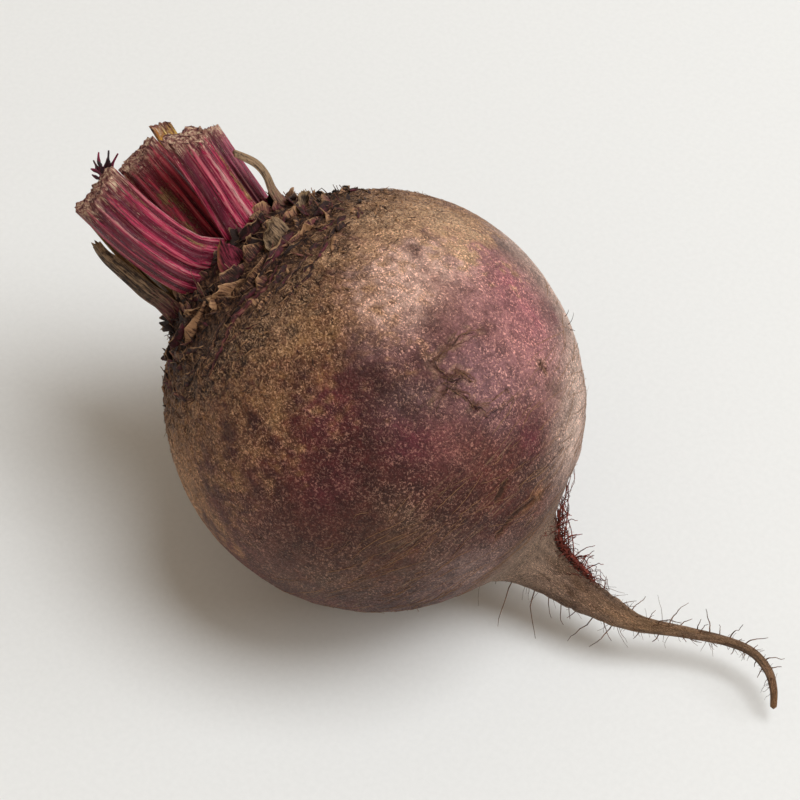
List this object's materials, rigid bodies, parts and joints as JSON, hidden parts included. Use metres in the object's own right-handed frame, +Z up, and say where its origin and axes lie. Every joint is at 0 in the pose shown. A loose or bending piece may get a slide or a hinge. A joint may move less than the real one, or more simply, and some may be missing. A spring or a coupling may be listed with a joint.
{
  "type": "beetroot",
  "caption": "Round beetroot lying on its side, with a thin curved tail root, cut leaf stalks and dried leaf bases on its crown.",
  "frame": {"origin": "middle of the small flat spot under the bulb that the beetroot rests on", "axes": "+Z up; +X under the tail root, away from the crown of cut stalks; +Y sideways"},
  "size_m": [0.1538, 0.0796, 0.0835],
  "materials": {
    "skin": "matte",
    "stalk": "satin",
    "young_stalk": "satin",
    "heart_leaf": "satin",
    "sheath": "satin",
    "husk": "matte",
    "root_hairs": "matte"
  },
  "bodies": {
    "root": {"root": "skin", "root_hair_mat": "root_hairs", "stalk_front": "stalk", "stalk_right": "stalk", "stalk_middle": "stalk", "stalk_far_right": "stalk", "stalk_rear_left": "stalk", "stalk_left": "stalk", "stalk_young": "young_stalk", "heart_shoot": "heart_leaf", "sheath_red": "sheath", "dry_stalk_left": "husk", "dry_stalk_right": "husk", "dry_base_grey": "husk", "dry_base_dark": "husk", "dry_base_tan": "husk", "dry_base_ochre": "husk", "dry_base_brown": "husk", "dry_base_top": "husk", "dry_base_back_1": "husk", "dry_base_back_2": "husk", "dry_base_back_3": "husk", "dry_base_back_4": "husk", "dry_base_back_5": "husk", "dry_base_back_6": "husk"}
  },
  "joints": []
}
